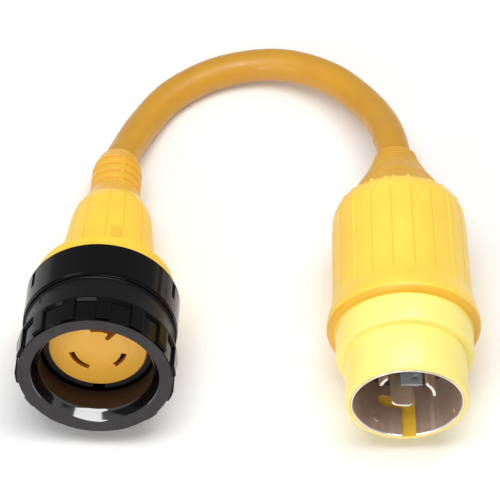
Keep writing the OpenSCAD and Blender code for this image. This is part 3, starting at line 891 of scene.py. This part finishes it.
# %% Turn the collar and the nose
NOSE_STEPS = 160
COLLAR_BAND_R = 34.7
collar = turned("plug_collar_band", [
    (SLEEVE_OUT_R, -NOSE_LENGTH), (33.2, -NOSE_LENGTH), (34.2, -27.4), (COLLAR_BAND_R, -28.4),
    (COLLAR_BAND_R, BODY_FRONT), (SLEEVE_OUT_R, BODY_FRONT)], steps=NOSE_STEPS)
# The collar gets the pale copy of the yellow vinyl as painted highlight.
dress(collar, vinyl_highlight_pale)
place_on(collar, PLUG, "adapter", "plug_collar", smooth=50)
nose = turned("plug_nose_sleeve", [
    (SLEEVE_IN_R, -0.2), (28.7, 0.0), (SLEEVE_OUT_R, 0.0), (NOSE_R, -0.4), (NOSE_R, -NOSE_LENGTH),
    (SLEEVE_OUT_R, -NOSE_LENGTH), (SLEEVE_OUT_R, SLEEVE_REAR), (SLEEVE_IN_R, SLEEVE_REAR)], steps=NOSE_STEPS)
dress(nose, vinyl_highlight_pale, vinyl)
# The nose's outside gets the pale copy as painted highlight, and its inside, seen through the keyway, keeps
# the plain yellow.
paint(nose, lambda r, a, z: r < SLEEVE_IN_R + 0.2)
place_on(nose, PLUG, "adapter", "plug_nose", smooth=50)

# %% [markdown]
# ## The flared strain relief
# Behind the seam the vinyl is darker. It sweeps in to a neck with fine rings, where the cable leaves.
# The sweep is a trumpet with no formula behind it, so its outline is drawn point by point, and the rings are
# pressed in by height alone.

# %% Turn the flare
NECK_R, NECK_REAR = 10.6, -156.0
flare = turned("plug_flare", [
    (PASSAGE_R, SEAM), (30.6, SEAM), (29.4, -121.2), (27.0, -123.1), (24.6, -126.4), (22.6, -130.6),
    (21.0, -134.6), (18.9, -138.0), (16.6, -142.0), (14.7, -146.0), (12.8, -150.0), (11.5, -153.6),
    (11.0, -155.6), (NECK_R, NECK_REAR), (NECK_R - 1, NECK_REAR), (PASSAGE_R + 0.1, -149.0)],
    steps=180, step=0.4)
NECK_RINGS = (-146.4, -148.6, -150.6, -152.6, -154.4)
RING_DEPTH = 0.35


def flare_relief(r, a, z):
    rings = sum(band(z, q - 0.1, q + 0.1, 0.5) for q in NECK_RINGS)
    return -RING_DEPTH * min(rings, 1) if r > 10.5 else 0.0


# Painted shade darkens the neck rings.
relief(flare, flare_relief, shade=1.6)
dress(flare, vinyl_deep)
place_on(flare, PLUG, "adapter", "plug_strain_relief", smooth=60)

# %% [markdown]
# ## The steel shell and its keyway
# The nose is lined with a plated steel shell. A keyway enters at the bottom and turns to the left, so
# the plug locks with a twist, and the yellow sleeve shows through it. A real shell would be pressed from
# sheet. A turned tube that is cut with blocks gives the same edges, and a small button joined to it is
# the dimple beside the keyway.

# %% Turn and cut the shell
LEG_END, HOLE, DIMPLE = 248.5, -30, 237.3  # degrees round the axis
KEYWAY_LEFT, KEYWAY_RIGHT = -1.7, 5.3  # mm, the sides of the entry
KEYWAY_LOW, KEYWAY_HIGH = -23.7, -16.7  # mm, the sides of the turned leg
KEYWAY_MIDDLE = (KEYWAY_LOW + KEYWAY_HIGH) / 2
THROUGH = (24, 31)  # mm, the radii that a cutter runs between to pass right through the wall
HOLE_Z, DIMPLE_Z = -4.8, -7.6


def outwards(turn, r, z):
    """The point at radius r and height z, turn degrees round the axis."""
    angle = math.radians(turn)
    return (r * math.cos(angle), r * math.sin(angle), z)


def through_wall(name, turn, z, radius):
    """A round cutter that passes through the shell's wall."""
    return rod_block(name, *(outwards(turn, r, z) for r in THROUGH), radius)


shell = turned("steel_shell", [
    (SHELL_R, -0.5), (SHELL_R + 0.4, 0.1), (SLEEVE_IN_R - 0.3, 0.2), (SLEEVE_IN_R, -0.2),
    (SLEEVE_IN_R, -52.0), (SHELL_R, -52.0)], steps=NOSE_STEPS)
cut(shell, box_block("key_entry", (KEYWAY_LEFT, -30.5, KEYWAY_LOW), (KEYWAY_RIGHT, -24.0, 6)),
    arc_block("key_turn", 25.5, 30, LEG_END, 270, KEYWAY_LOW, KEYWAY_HIGH))
cut(shell, through_wall("key_end", LEG_END, KEYWAY_MIDDLE, (KEYWAY_HIGH - KEYWAY_LOW) / 2),
    through_wall("hole", HOLE, HOLE_Z, 1.5))
dimple = rod_block("dimple", outwards(DIMPLE, SHELL_R - 0.6, DIMPLE_Z),
                   outwards(DIMPLE, SHELL_R + 0.4, DIMPLE_Z), 1.9)
round_edges(dimple, 0.5, segments=4)
join(shell, dimple)
round_edges(shell, 0.15)
dress(shell, nickel, edge_highlight)
# The shell's front rim gets the edge metal as painted highlight.
paint(shell, lambda r, a, z: z > -0.6)
place_on(shell, PLUG, "adapter", "plug_shell", smooth=40)

# %% [markdown]
# ## The blades
# Three curved blades stand on one circle. Their tips are rounded so that they find the slots. A flat
# strip with a Simple Deform bend would work, but its radius would shift with its length. Each is a bent
# block instead, whose tip is lowered towards its corners.

# %% Bend the blades
BLADE_R, BLADE_T, BLADE_REAR = 13.6, 1.6, -61.0
BLADES = {"blade_x": (236.5, 286, -8.5, 2.6), "blade_y": (136, 168, -8.5, 1.6),
          "blade_w": (-4, 48, -4.5, 1.6)}  # two angles in degrees, the tip's height, the corner's radius


def bent_blade(name, a0, a1, tip, corner):
    """A blade between two angles, whose tip corners are rounded to a radius in mm."""
    blade = arc_block(name, BLADE_R - BLADE_T / 2, BLADE_R + BLADE_T / 2, a0, a1, BLADE_REAR, tip, steps=36)
    half = math.radians(a1 - a0) / 2 * BLADE_R
    middle = math.radians((a0 + a1) / 2)
    for v in blade.data.vertices:
        if v.co.z > (tip - 0.1) * MM:
            a = math.atan2(v.co.y, v.co.x) - middle
            a = (a + math.pi) % math.tau - math.pi
            edge = half - abs(a) * BLADE_R
            if edge < corner:
                v.co.z -= (corner - math.sqrt(max(corner ** 2 - (corner - edge) ** 2, 0))) * MM
    round_edges(blade, 0.35, segments=3, angle=50)
    return blade


for name, (a0, a1, tip, corner) in BLADES.items():
    blade = bent_blade(name + "_plate", a0, a1, tip, corner)
    dress(blade, blade_metal, edge_highlight)
    # The tip's forward faces get the edge metal as painted highlight.
    for face in blade.data.polygons:
        if face.normal.z > 0.3 and face.center.z > (tip - corner) * MM:
            face.material_index = 1
    place_on(blade, PLUG, "adapter", name, smooth=40)

# %% [markdown]
# ## The ground strap
# A plated strip stands beside the blades and joins the shell to the ground wire. It is folded once, so
# two square blocks make it: an upright one with a round hole, and a foot that reaches out to the shell.

# %% Fold the strap
STRAP_T, STRAP_FOOT = 1.2, -30.0  # mm, the strip's thickness and the underside of its foot
strap = box_block("ground_strap_plate", (-2.4, -9.8, STRAP_FOOT), (8.6, -9.8 + STRAP_T, -18))
cut(strap, rod_block("strap_hole", (5.2, -12, -22.8), (5.2, -6, -22.8), 1.3))
join(strap, box_block("foot", (3, -26, STRAP_FOOT), (7.8, -9, STRAP_FOOT + STRAP_T)))
round_edges(strap, 0.25)
dress(strap, strap_metal)
place_on(strap, PLUG, "adapter", "ground_strap", smooth=40)

# %% [markdown]
# ## Floor and light
# The lead lies on pale paper. A white sky alone would leave only a faint shadow under the cable, so a
# large soft lamp above gives the shadows, and a weaker one in front opens up the dark mouths of the two
# ends.

# %% Lay the floor
HALF_FLOOR = 1500  # mm
corners = [(-1, -1), (1, -1), (1, 1), (-1, 1)]
floor = new_object("floor", [(x * HALF_FLOOR, y * HALF_FLOOR, 0) for x, y in corners], [(0, 1, 2, 3)])
floor_paint = bpy.data.materials.new("floor_paper")
floor_paint.use_nodes = True
paper = floor_paint.node_tree.nodes["Principled BSDF"]
paper.inputs["Base Color"].default_value = (0.94, 0.94, 0.94, 1)
paper.inputs["Roughness"].default_value = 0.9
dress(floor, floor_paint)

# %% Light the sky and hang the lamps
SKY_STRENGTH = 0.46
world = bpy.data.worlds.new("sky")
world.use_nodes = True
world.node_tree.nodes["Background"].inputs["Color"].default_value = (1, 1, 1, 1)
world.node_tree.nodes["Background"].inputs["Strength"].default_value = SKY_STRENGTH
bpy.context.scene.world = world


def soft_lamp(name, place, aim, size, power):
    """A rectangular lamp of size metres and power watts, at place and looking at aim."""
    data = bpy.data.lights.new(name, "AREA")
    data.shape = "RECTANGLE"
    data.size, data.size_y = size
    data.energy = power
    lamp = bpy.data.objects.new(name, data)
    lamp.location = place
    lamp.rotation_euler = (Vector(aim) - Vector(place)).to_track_quat("-Z", "Y").to_euler()
    bpy.context.scene.collection.objects.link(lamp)
    return lamp


soft_lamp("key_light", place=(0.03, -0.08, 1.1), aim=(0.0, -0.02, 0.03), size=(1.03, 0.5), power=9.4)
soft_lamp("front_fill", place=(-0.6, -1.2, 0.75), aim=(0, 0, 0.03), size=(1.0, 0.6), power=6.6)
print("lit by the sky and two soft lamps")
